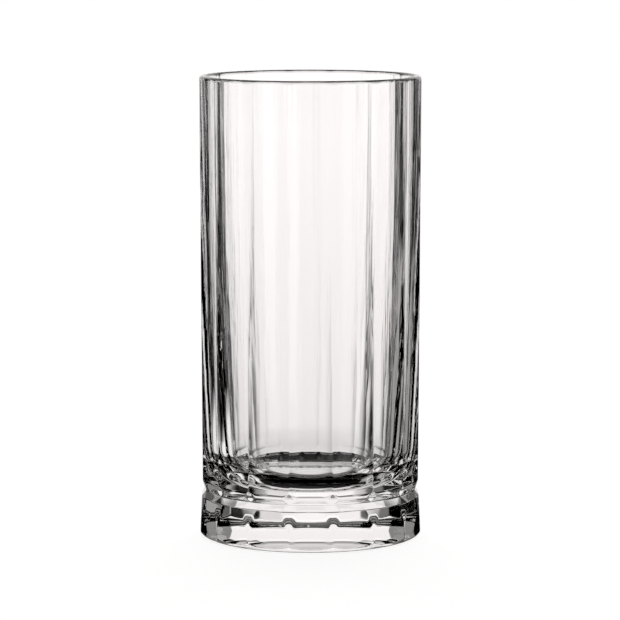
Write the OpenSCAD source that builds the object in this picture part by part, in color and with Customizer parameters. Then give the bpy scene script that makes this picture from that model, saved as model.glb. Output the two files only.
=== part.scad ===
// A tall drinking glass, pressed as one piece of clear glass.
// It stands on its foot ring at z = 0, and its axis is the Z axis.

/* [Body] */
// Height of the glass, from the table to the top of the lip
glass_h = 155; // [130:0.5:170]
// Number of flat panels round the outside, each one running down the body and the foot
panel_count = 16; // [14:1:18]
// Width across two opposite panels at the top of the lip
rim_flats = 73.8; // [66:0.1:80]
// Width across two opposite panels at the level of the groove
waist_flats = 72.3; // [64:0.1:78]
// How far the polish takes each ridge between two panels back at the lip
lip_wear = 0.2; // [0.1:0.05:0.5]
// How far the polish takes each ridge back at the groove
waist_wear = 0.06; // [0.02:0.01:0.12]
// Radius of the outer edge of the lip
lip_outer_r = 1.6; // [1:0.05:1.8]
// Radius of the inner edge of the lip
lip_inner_r = 1.4; // [0.8:0.05:1.6]

/* [Inside] */
// Thickness of the wall at the lip, in the middle of a panel
lip_wall = 2.65; // [2:0.05:4]
// Thickness of the wall at the level of the floor, as if its corner were sharp
floor_wall = 10.1; // [5:0.1:13]
// How far the inside of the wall bows out from a straight line between the lip and the floor
wall_bow = 1.75; // [0.5:0.05:3]
// Thickness of the glass under the floor
floor_t = 17.8; // [16:0.1:30]
// Radius of the bowl between the floor and the wall
floor_corner_r = 14; // [5:0.1:18]

/* [Foot] */
// Height of the bottom of the groove between the body and the foot
groove_h = 16.1; // [15:0.1:18]
// Depth of the groove below the panels above it
groove_depth = 1.15; // [0.5:0.05:2]
// Radius of the body's rounded edge above the groove
waist_edge_r = 7; // [5:0.1:9]
// Slope of the chamfer below the groove, away from upright, in degrees
chamfer_angle = 30; // [25:1:45]
// How far the foot's panels lie behind the body's, at the level of the groove
shoulder_setback = 0.05; // [0:0.05:0.4]
// How much further out the foot's panels lie at the table than at the groove
foot_flare = 1.3; // [0.5:0.05:2]
// Radius of the foot's bottom edge
foot_edge_r = 3; // [2:0.1:4]
// Width of the flat ring that the glass stands on
foot_ring_w = 3.4; // [2:0.1:8]
// Depth of the hollow under the foot, in its middle
hollow_depth = 2; // [0.5:0.1:3]

/* [Hidden] */

// Steps in which each arc of an outline is drawn
arc_steps = 12;
// How far a cutter reaches past the glass, so that no face of it lies on a face of the glass
overrun = 2;
// Sides of the circles that the outlines are turned on
$fn = 96;

panel_angle = 360 / panel_count;
rim_panel = rim_flats / 2;
waist_panel = waist_flats / 2;
shoulder_panel = waist_panel - shoulder_setback;
table_panel = shoulder_panel + foot_flare;
groove_panel = waist_panel - groove_depth;

// Distance from the axis to a sharp ridge beside panels that lie at distance p
function ridge(p) = p / cos(panel_angle / 2);

// Points of an arc about c, from one angle to another
function arc(c, r, from, to) =
    [for (i = [0:arc_steps]) let (a = from + (to - from) * i / arc_steps) c + r * [cos(a), sin(a)]];

// The body's rounded edge runs out of the panel and ends in the groove
waist_reach = waist_edge_r - groove_depth;
waist_rise = sqrt(pow(waist_edge_r, 2) - pow(waist_reach, 2));
waist_top = groove_h + waist_rise;
waist_centre = [waist_panel - waist_edge_r, waist_top];
waist_end_angle = -acos(waist_reach / waist_edge_r);

// Slope of the body's panels, away from upright, and their distance from the axis at a height
body_lean = atan((rim_panel - waist_panel) / (glass_h - waist_top));
function body_panel(z) = waist_panel + tan(body_lean) * (z - waist_top);

// The chamfer under the groove meets the foot's panel, which leans out to the table
chamfer_run = tan(chamfer_angle);
foot_run = foot_flare / groove_h;
chamfer_drop = (shoulder_panel - groove_panel) / (chamfer_run - foot_run);
shoulder = [groove_panel + chamfer_run * chamfer_drop, groove_h - chamfer_drop];
foot_edge_centre = [table_panel - foot_run * foot_edge_r - foot_edge_r, foot_edge_r];

// The turned blank's radius at the lip, at the groove and at the table, a little inside sharp ridges
lip_r = ridge(rim_panel) - lip_wear;
waist_r = ridge(waist_panel) - waist_wear;
shoulder_r = ridge(shoulder_panel) - waist_wear;
table_r = ridge(table_panel) - waist_wear;

// The lip's two edges fill its thickness at most
mouth_r = rim_panel - lip_wall;
lip_fill = min(1, (lip_r - mouth_r) / (lip_outer_r + lip_inner_r));
outer_edge_r = lip_outer_r * lip_fill;
inner_edge_r = lip_inner_r * lip_fill;

// The inside of the wall is one long arc between these two points of the side view
wall_top = [mouth_r, glass_h - inner_edge_r];
wall_foot = [body_panel(floor_t) - floor_wall, floor_t];
wall_line = wall_top - wall_foot;
wall_arc_r = (pow(norm(wall_line) / 2, 2) + pow(wall_bow, 2)) / (2 * wall_bow);
wall_out = [wall_line[1], -wall_line[0]] / norm(wall_line);
wall_centre = (wall_top + wall_foot) / 2 - (wall_arc_r - wall_bow) * wall_out;
wall_top_angle = atan2(wall_top[1] - wall_centre[1], wall_top[0] - wall_centre[0]);

// The bowl's arc touches the floor and the inside of the wall
bowl_rise = floor_t + floor_corner_r - wall_centre[1];
bowl_reach = sqrt(pow(wall_arc_r - floor_corner_r, 2) - pow(bowl_rise, 2));
bowl_centre = wall_centre + [bowl_reach, bowl_rise];
bowl_angle = atan2(bowl_rise, bowl_reach);

// The hollow under the foot is part of a sphere, inside the ring that the glass stands on
hollow_r = foot_edge_centre[0] - foot_ring_w;
hollow_sphere_r = (pow(hollow_r, 2) + pow(hollow_depth, 2)) / (2 * hollow_depth);
hollow_half_angle = asin(hollow_r / hollow_sphere_r);

// Outline of the turned blank, from the middle of the hollow out and up to the lip
blank_outline = concat(
    arc([0, hollow_depth - hollow_sphere_r], hollow_sphere_r, 90, 90 - hollow_half_angle),
    [[table_r, 0]],
    [[shoulder_r, groove_h]],
    [[waist_r, waist_top]],
    arc([lip_r - outer_edge_r, glass_h - outer_edge_r], outer_edge_r, 0, 90),
    [[0, glass_h]]
);

// Side view of what is cut away in front of one panel: foot edge, shoulder, groove, rounded edge, body
panel_outline = concat(
    [[foot_edge_centre[0], -overrun]],
    arc(foot_edge_centre, foot_edge_r, -90, 0),
    [shoulder],
    [[groove_panel, groove_h]],
    arc(waist_centre, waist_edge_r, waist_end_angle, 0),
    [[body_panel(glass_h + overrun), glass_h + overrun]],
    [[glass_h, glass_h + overrun]],
    [[glass_h, -overrun]]
);

// Outline of the inside, from the middle of the floor out and up past the lip
inside_outline = concat(
    [[0, floor_t]],
    arc(bowl_centre, floor_corner_r, -90, bowl_angle),
    arc(wall_centre, wall_arc_r, bowl_angle, wall_top_angle),
    arc([mouth_r + inner_edge_r, glass_h - inner_edge_r], -inner_edge_r, 0, -90),
    [[mouth_r + inner_edge_r, glass_h + overrun]],
    [[0, glass_h + overrun]]
);

// Everything in front of one panel, as wide as the glass is tall
module panel_cut() {
    rotate([90, 0, 0])
        translate([0, 0, -glass_h / 2])
            linear_extrude(glass_h)
                polygon(panel_outline);
}

// The whole glass: a turned blank, cut to the same side view at each panel, and hollowed
module highball_glass() {
    color([0.86, 0.9, 0.91, 0.45])
        difference() {
            rotate_extrude()
                polygon(blank_outline);
            for (i = [0:panel_count - 1])
                rotate([0, 0, i * panel_angle])
                    panel_cut();
            rotate_extrude()
                polygon(inside_outline);
        }
}

highball_glass();
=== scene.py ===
import bpy
import math
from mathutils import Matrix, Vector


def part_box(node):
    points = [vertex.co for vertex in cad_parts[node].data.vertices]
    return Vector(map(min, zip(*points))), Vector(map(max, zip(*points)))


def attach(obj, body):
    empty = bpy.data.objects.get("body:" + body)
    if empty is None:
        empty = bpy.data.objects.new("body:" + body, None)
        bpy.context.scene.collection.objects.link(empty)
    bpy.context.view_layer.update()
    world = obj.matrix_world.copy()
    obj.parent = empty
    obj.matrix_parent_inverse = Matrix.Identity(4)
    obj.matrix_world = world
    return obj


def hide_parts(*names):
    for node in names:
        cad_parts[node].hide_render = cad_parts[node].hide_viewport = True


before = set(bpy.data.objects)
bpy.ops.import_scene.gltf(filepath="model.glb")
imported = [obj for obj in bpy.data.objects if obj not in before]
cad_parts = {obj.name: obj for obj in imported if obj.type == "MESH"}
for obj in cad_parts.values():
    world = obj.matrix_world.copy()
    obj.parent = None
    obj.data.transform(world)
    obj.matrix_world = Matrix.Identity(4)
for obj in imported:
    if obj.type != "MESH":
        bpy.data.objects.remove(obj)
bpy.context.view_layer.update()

# The glass.
# It is one gob of clear soda-lime glass, pressed between a mould of 16 flat panels and a round plunger, and
# fire-polished at the lip. A ring of edges is extruded into a turned blank and pressed against the mould.

MM = 0.001
panel_count = 16

# the glass stands on the floor and is as tall as its solid in the frame
glass_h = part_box("highball_glass")[1].z

# the panels' distance from the axis at the lip, above the groove and in the groove, and the point of the
# side view, (distance, height), where the chamfer below the groove meets the foot's panel
rim_panel = 36.93 * MM
waist_panel = 36.15 * MM
groove_panel = 35.05 * MM
groove_h = 16.1 * MM
waist_edge_r = 7 * MM
shoulder = (36.55 * MM, 13.9 * MM)

# the mould starts below the table and ends above the lip, and the ridges between its panels are round
below_table = 2 * MM
above_lip = 5 * MM
foot_panel = 37.1 * MM
ridge_r = 0.35 * MM


def arc(centre, radius, start, end, steps):
    """Points of an arc in the side view, without its first one. Angles are in degrees."""
    turns = [math.radians(start + (end - start) * i / steps) for i in range(1, steps + 1)]
    return [(centre[0] + radius * math.cos(t), centre[1] + radius * math.sin(t)) for t in turns]


def line(start, end, steps):
    """Points of a straight stretch in the side view, without its first one."""
    shares = [i / steps for i in range(1, steps + 1)]
    return [tuple(a + (b - a) * s for a, b in zip(start, end)) for s in shares]


def climb(last, points):
    """Extrudes the selected ring of edges through these points of the side view, (radius, height)."""
    for point in points:
        grow = point[0] / last[0]
        bpy.ops.mesh.extrude_region_move(TRANSFORM_OT_translate={"value": (0, 0, point[1] - last[1])})
        bpy.ops.transform.resize(value=(grow, grow, 1), center_override=(0, 0, point[1]))
        last = point
    return last


def start_ring(name, panel, height, cuts):
    """A ring with one straight side for each panel and small round corners. Cuts divide each side."""
    bpy.ops.object.select_all(action="DESELECT")
    corner = panel / math.cos(math.pi / panel_count)
    bpy.ops.mesh.primitive_circle_add(vertices=panel_count, radius=corner)
    ring = bpy.context.object
    ring.name = name
    bpy.ops.object.mode_set(mode="EDIT")
    bpy.ops.mesh.select_mode(type="VERT")
    bpy.ops.mesh.select_all(action="SELECT")
    bpy.ops.transform.rotate(value=math.pi / panel_count, orient_axis="Z", center_override=(0, 0, 0))
    bpy.ops.transform.translate(value=(0, 0, height))
    bpy.ops.mesh.bevel(offset=ridge_r, segments=4, affect="VERTICES")
    bpy.ops.mesh.select_all(action="DESELECT")
    bpy.ops.mesh.select_mode(type="EDGE")
    bpy.ops.object.mode_set(mode="OBJECT")
    quarter_side = 0.5 * panel * math.tan(math.pi / panel_count)
    for edge in ring.data.edges:
        start, end = [ring.data.vertices[i].co for i in edge.vertices]
        edge.select = (end - start).length > quarter_side
    bpy.ops.object.mode_set(mode="EDIT")
    if cuts:
        bpy.ops.mesh.subdivide(number_cuts=cuts)
    bpy.ops.mesh.select_all(action="SELECT")
    return ring


# the mould: foot, shoulder, groove, the rounded edge above the groove, and the body
# it is taken away once the glass has been pressed against it
waist_reach = waist_edge_r - (waist_panel - groove_panel)
waist_rise = math.sqrt(waist_edge_r ** 2 - waist_reach ** 2)
waist_turn = -math.degrees(math.acos(waist_reach / waist_edge_r))
body_start = (waist_panel, groove_h + waist_rise)
waist_centre = (waist_panel - waist_edge_r, body_start[1])
lean = (rim_panel - waist_panel) / (glass_h - body_start[1])
mould_foot = (foot_panel, -below_table)
mould_top = (rim_panel + lean * above_lip, glass_h + above_lip)
mould = start_ring("mould", mould_foot[0], mould_foot[1], 0)
at = climb(mould_foot, [shoulder, (groove_panel, groove_h)])
at = climb(at, arc(waist_centre, waist_edge_r, waist_turn, 0, steps=12))
at = climb(at, [mould_top])
bpy.ops.mesh.select_all(action="SELECT")
bpy.ops.mesh.normals_make_consistent(inside=False)
bpy.ops.object.mode_set(mode="OBJECT")

# the blank's radius, up its outside: a ridge of the glass lies here where the mould leaves it room
foot_r = 37.8 * MM
foot_edge_r = 3.1 * MM
shoulder_cap = 36.8 * MM
groove_cap = 35.7 * MM
waist_cap = 36.9 * MM
lip_r = 37.4 * MM
lip_outer_r = 1.55 * MM
lip_inner_r = 1.35 * MM
mouth_r = 34.25 * MM
columns = 20

# up the outside and over the lip
foot_start = (foot_r - foot_edge_r, 0)
lip_start = (lip_r, glass_h - lip_outer_r)
glass = start_ring("highball_glass_body", foot_start[0], 0, columns)
bpy.ops.transform.tosphere(value=1)
glass.update_from_editmode()
ring_r = sum(math.hypot(v.co.x, v.co.y) for v in glass.data.vertices) / len(glass.data.vertices)
grow = foot_start[0] / ring_r
bpy.ops.transform.resize(value=(grow, grow, 1), center_override=(0, 0, 0))
at = climb(foot_start, arc((foot_start[0], foot_edge_r), foot_edge_r, -90, 0, steps=12))
at = climb(at, line(at, (shoulder_cap, shoulder[1]), steps=20))
at = climb(at, line(at, (groove_cap, groove_h), steps=10))
at = climb(at, line(at, (waist_cap, body_start[1]), steps=14))
at = climb(at, line(at, lip_start, steps=40))
at = climb(at, arc((lip_r - lip_outer_r, at[1]), lip_outer_r, 0, 90, steps=10))
at = climb(at, arc((mouth_r + lip_inner_r, glass_h - lip_inner_r), lip_inner_r, 90, 180, steps=10))

# the plunger's shape: a wall that bows out between the lip and the floor, a bowl, and a flat floor
floor_r = 26.05 * MM
floor_t = 17.8 * MM
floor_middle_r = 1.5 * MM
wall_bow = 1.75 * MM
bowl_r = 14 * MM
wall_top = (mouth_r, glass_h - lip_inner_r)
wall_foot = (floor_r, floor_t)
wall_line = (wall_top[0] - wall_foot[0], wall_top[1] - wall_foot[1])
wall_length = math.hypot(*wall_line)
wall_arc_r = (wall_length ** 2 / 4 + wall_bow ** 2) / (2 * wall_bow)
wall_centre = (
    (wall_top[0] + wall_foot[0]) / 2 - (wall_arc_r - wall_bow) * wall_line[1] / wall_length,
    (wall_top[1] + wall_foot[1]) / 2 + (wall_arc_r - wall_bow) * wall_line[0] / wall_length,
)
wall_angle = math.degrees(math.atan2(wall_top[1] - wall_centre[1], wall_top[0] - wall_centre[0]))
bowl_rise = floor_t + bowl_r - wall_centre[1]
bowl_reach = math.sqrt((wall_arc_r - bowl_r) ** 2 - bowl_rise ** 2)
bowl_centre = (wall_centre[0] + bowl_reach, wall_centre[1] + bowl_rise)
bowl_angle = math.degrees(math.atan2(bowl_rise, bowl_reach))

# down the inside
at = climb(at, arc(wall_centre, wall_arc_r, wall_angle, bowl_angle, steps=32))
at = climb(at, arc(bowl_centre, bowl_r, bowl_angle, -90, steps=24))
at = climb(at, line(at, (floor_middle_r, floor_t), steps=6))
bpy.ops.mesh.merge(type="CENTER")

# under the foot: the flat ring that it stands on, and a shallow hollow, part of a large ball
hollow_r = 30.8 * MM
hollow_depth = 2 * MM
hollow_middle_angle = 2
ball_r = (hollow_r ** 2 + hollow_depth ** 2) / (2 * hollow_depth)
hollow_angle = math.degrees(math.asin(hollow_r / ball_r))
bpy.ops.mesh.select_all(action="DESELECT")
bpy.ops.mesh.select_non_manifold(use_multi_face=False, use_non_contiguous=False, use_verts=False)
at = climb(foot_start, [(hollow_r, 0)])
climb(at, arc((0, hollow_depth - ball_r), ball_r, 90 - hollow_angle, 90 - hollow_middle_angle, steps=14))
bpy.ops.mesh.merge(type="CENTER")
bpy.ops.mesh.select_all(action="SELECT")
bpy.ops.mesh.normals_make_consistent(inside=False)
bpy.ops.object.mode_set(mode="OBJECT")
bpy.ops.object.shade_smooth()

# press the outside against the mould: what stands out past a panel is pushed back to it
table_gap = 0.1 * MM
outside_r = 35.3 * MM
press_depth = 3 * MM
outside = glass.vertex_groups.new(name="outside")
for vertex in glass.data.vertices:
    radius = math.hypot(vertex.co.x, vertex.co.y)
    faces_out = vertex.normal.xy.dot(vertex.co.xy) > 0
    if vertex.co.z > table_gap and radius > outside_r and faces_out:
        outside.add([vertex.index], 1, "REPLACE")
press = glass.modifiers.new("press", "SHRINKWRAP")
press.target = mould
press.wrap_method = "PROJECT"
press.use_negative_direction = True
press.use_positive_direction = False
press.vertex_group = "outside"
press.wrap_mode = "INSIDE"
press.project_limit = press_depth
bpy.context.view_layer.objects.active = glass
bpy.ops.object.modifier_apply(modifier="press")
glass.vertex_groups.clear()
bpy.data.objects.remove(mould)

# clear glass, smooth all over
glass_ior = 1.52
clear_glass = bpy.data.materials.new("clear_glass")
clear_glass.use_nodes = True
glass_nodes = clear_glass.node_tree.nodes
glass_links = clear_glass.node_tree.links
shader = glass_nodes["Principled BSDF"]
shader.inputs["Base Color"].default_value = (1, 1, 1, 1)
shader.inputs["Roughness"].default_value = 0
shader.inputs["IOR"].default_value = glass_ior
shader.inputs["Transmission Weight"].default_value = 1

# cords, the faint long waves that flowing glass keeps, up the body and fading out towards the base
cord_density = 500
cord_stretch = 0.012
cord_depth = 0.12 * MM
cords_fade_from = 35 * MM
cords_full_from = 70 * MM
place = glass_nodes.new("ShaderNodeTexCoord")
stretch = glass_nodes.new("ShaderNodeMapping")
stretch.inputs["Scale"].default_value = (1, 1, cord_stretch)
glass_links.new(place.outputs["Object"], stretch.inputs["Vector"])
cords = glass_nodes.new("ShaderNodeTexNoise")
cords.inputs["Scale"].default_value = cord_density
cords.inputs["Detail"].default_value = 2
glass_links.new(stretch.outputs["Vector"], cords.inputs["Vector"])
height = glass_nodes.new("ShaderNodeSeparateXYZ")
glass_links.new(place.outputs["Object"], height.inputs[0])
body_only = glass_nodes.new("ShaderNodeMapRange")
body_only.inputs["From Min"].default_value = cords_fade_from
body_only.inputs["From Max"].default_value = cords_full_from
glass_links.new(height.outputs["Z"], body_only.inputs["Value"])
ripple = glass_nodes.new("ShaderNodeBump")
ripple.inputs["Distance"].default_value = cord_depth
glass_links.new(body_only.outputs["Result"], ripple.inputs["Strength"])
glass_links.new(cords.outputs["Fac"], ripple.inputs["Height"])
glass_links.new(ripple.outputs["Normal"], shader.inputs["Normal"])
glass.data.materials.append(clear_glass)
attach(glass, "root")
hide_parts("highball_glass")

# The floor.
# A plain pale table top, matt, and much larger than the glass. A little glow brings it up to white, so that
# only the glass's soft shadow shows on it. The camera alone sees it, and all other rays pass it.

floor_size = 6
floor_grey = 0.9
floor_glow = 0.8
bpy.ops.object.select_all(action="DESELECT")
bpy.ops.mesh.primitive_plane_add(size=floor_size, location=(0, 0, 0))
floor = bpy.context.object
floor.name = "floor"
floor_paint = bpy.data.materials.new("floor_paint")
floor_paint.use_nodes = True
floor_nodes = floor_paint.node_tree.nodes
floor_links = floor_paint.node_tree.links
matt = floor_nodes["Principled BSDF"]
matt.inputs["Base Color"].default_value = (floor_grey, floor_grey, floor_grey, 1)
matt.inputs["Roughness"].default_value = 1
matt.inputs["Specular IOR Level"].default_value = 0
matt.inputs["Emission Color"].default_value = (1, 1, 1, 1)
matt.inputs["Emission Strength"].default_value = floor_glow
open_air = floor_nodes.new("ShaderNodeBsdfTransparent")
floor_rays = floor_nodes.new("ShaderNodeLightPath")
floor_choice = floor_nodes.new("ShaderNodeMixShader")
floor_links.new(floor_rays.outputs["Is Camera Ray"], floor_choice.inputs[0])
floor_links.new(open_air.outputs[0], floor_choice.inputs[1])
floor_links.new(matt.outputs[0], floor_choice.inputs[2])
floor_links.new(floor_choice.outputs[0], floor_nodes["Material Output"].inputs["Surface"])
floor.data.materials.append(floor_paint)

# The light.
# A dark studio with softboxes behind the glass and around it, as a world that follows a ray's direction and
# kind. Clear glass has no colour of its own: its dark lines are the dark between the softboxes.

world = bpy.data.worlds.new("studio")
bpy.context.scene.world = world
world.use_nodes = True
nodes = world.node_tree.nodes
links = world.node_tree.links
nodes.clear()


def calculate(operation, first, second=0.0, third=0.0):
    """A Math node's result. Each input is a number or another node's output."""
    node = nodes.new("ShaderNodeMath")
    node.operation = operation
    for socket, value in zip(node.inputs, (first, second, third)):
        if isinstance(value, (int, float)):
            socket.default_value = value
        else:
            links.new(value, socket)
    return node.outputs[0]


def ramp(angle, stops):
    """A grey that follows an angle in degrees through (angle, brightness) stops."""
    low, high = stops[0][0], stops[-1][0]
    node = nodes.new("ShaderNodeValToRGB")
    links.new(calculate("DIVIDE", calculate("SUBTRACT", angle, low), high - low), node.inputs[0])
    elements = node.color_ramp.elements
    elements.remove(elements[1])
    elements[0].position = 0
    elements[0].color = (stops[0][1],) * 3 + (1,)
    for stop, grey in stops[1:]:
        elements.new((stop - low) / (high - low)).color = (grey,) * 3 + (1,)
    return node.outputs[0]


# each direction's azimuth, clockwise from straight behind the glass, and its elevation, in degrees
degrees = 180 / math.pi
where = nodes.new("ShaderNodeTexCoord")
axes = nodes.new("ShaderNodeSeparateXYZ")
links.new(where.outputs["Generated"], axes.inputs[0])
azimuth = calculate("MULTIPLY", calculate("ARCTAN2", axes.outputs["X"], axes.outputs["Y"]), degrees)
squares = [calculate("POWER", axes.outputs[axis], 2) for axis in ("X", "Y")]
across = calculate("SQRT", calculate("ADD", squares[0], squares[1]))
elevation = calculate("MULTIPLY", calculate("ARCTAN2", axes.outputs["Z"], across), degrees)


def soft_edge(distance, reach, fade):
    """1 as far as reach from the middle of a softbox, and 0 past its fade."""
    edge = nodes.new("ShaderNodeMapRange")
    edge.interpolation_type = "SMOOTHSTEP"
    edge.inputs["From Min"].default_value = reach + fade
    edge.inputs["From Max"].default_value = reach
    links.new(distance, edge.inputs["Value"])
    return edge.outputs[0]


def softbox(middle, half_width, fade, bottom, top, strength=1):
    """A panel of light that fades out at its edges. Its sizes are angles in degrees, seen from the glass."""
    end_fade = 2
    aside = calculate("ABSOLUTE", calculate("WRAP", calculate("SUBTRACT", azimuth, middle), 180, -180))
    up = calculate("ABSOLUTE", calculate("SUBTRACT", elevation, (bottom + top) / 2))
    sides = soft_edge(aside, half_width, fade)
    ends = soft_edge(up, (top - bottom) / 2, end_fade)
    return calculate("MULTIPLY", calculate("MULTIPLY", sides, ends), strength)


def brightest(panels):
    """The brightest of several panels, in each direction."""
    result = panels[0]
    for panel in panels[1:]:
        result = calculate("MAXIMUM", result, panel)
    return result


# behind the glass, low and narrow for the body, high and wide for the foot, and a dim belt all round
behind = brightest([
    softbox(middle=-2, half_width=6, fade=25, bottom=-60, top=1),
    softbox(middle=0, half_width=36, fade=12, bottom=3, top=80),
    softbox(middle=0, half_width=180, fade=1, bottom=3, top=80, strength=0.3),
])

# at the other sides, for light that comes through the glass and not for what its surface mirrors
around = brightest([
    softbox(middle=-90, half_width=10, fade=14, bottom=-14, top=80),
    softbox(middle=135, half_width=10, fade=14, bottom=-34, top=38),
    softbox(middle=-45, half_width=9, fade=12, bottom=-60, top=-21, strength=1.2),
    softbox(middle=47, half_width=6, fade=9, bottom=-60, top=-13, strength=0.42),
])
rays = nodes.new("ShaderNodeLightPath")
through_glass = calculate("MULTIPLY", around, rays.outputs["Is Transmission Ray"])
panels = calculate("MAXIMUM", behind, through_glass)

# every panel is brightest a little below level, and dark towards the ground
height_stops = [
    (-90, 0.01),
    (-36, 0.01),
    (-31, 0.77),
    (-20, 0.86),
    (-16, 0.93),
    (-13, 1.02),
    (-9, 1.09),
    (-5, 1.16),
    (3, 1.08),
    (9, 0.97),
    (24, 0.97),
    (35, 0.5),
    (60, 0.4),
    (80, 0.5),
]
light = calculate("MULTIPLY", panels, ramp(elevation, height_stops))

# a faintly warm white for the light, and white paper where the camera looks past the glass
warm_white = (1, 0.965, 0.958, 1)
studio_light = nodes.new("ShaderNodeBackground")
studio_light.inputs["Color"].default_value = warm_white
links.new(light, studio_light.inputs["Strength"])
paper = nodes.new("ShaderNodeBackground")
paper.inputs["Color"].default_value = (1, 1, 1, 1)
choice = nodes.new("ShaderNodeMixShader")
output = nodes.new("ShaderNodeOutputWorld")
links.new(rays.outputs["Is Camera Ray"], choice.inputs[0])
links.new(studio_light.outputs[0], choice.inputs[1])
links.new(paper.outputs[0], choice.inputs[2])
links.new(choice.outputs[0], output.inputs[0])
bpy.context.scene.view_settings.view_transform = "Standard"

# The camera.
# A long lens in front of the glass, with the camera a little above the lip.
# It looks slightly down, so the mouth shows as a thin ellipse.

# the place is in metres, the turns are in degrees, and the lens and its sensor in millimetres
camera_place = (-0.0071, -1.1479, 0.2165)
look_down = 6.97
look_right = 0.35
lens = 199.86
sensor = 36
camera = bpy.data.objects.new("camera", bpy.data.cameras.new("camera"))
bpy.context.scene.collection.objects.link(camera)
bpy.context.scene.camera = camera
camera.location = camera_place
camera.rotation_euler = (math.radians(90 - look_down), 0, math.radians(-look_right))
camera.data.lens = lens
camera.data.sensor_width = sensor
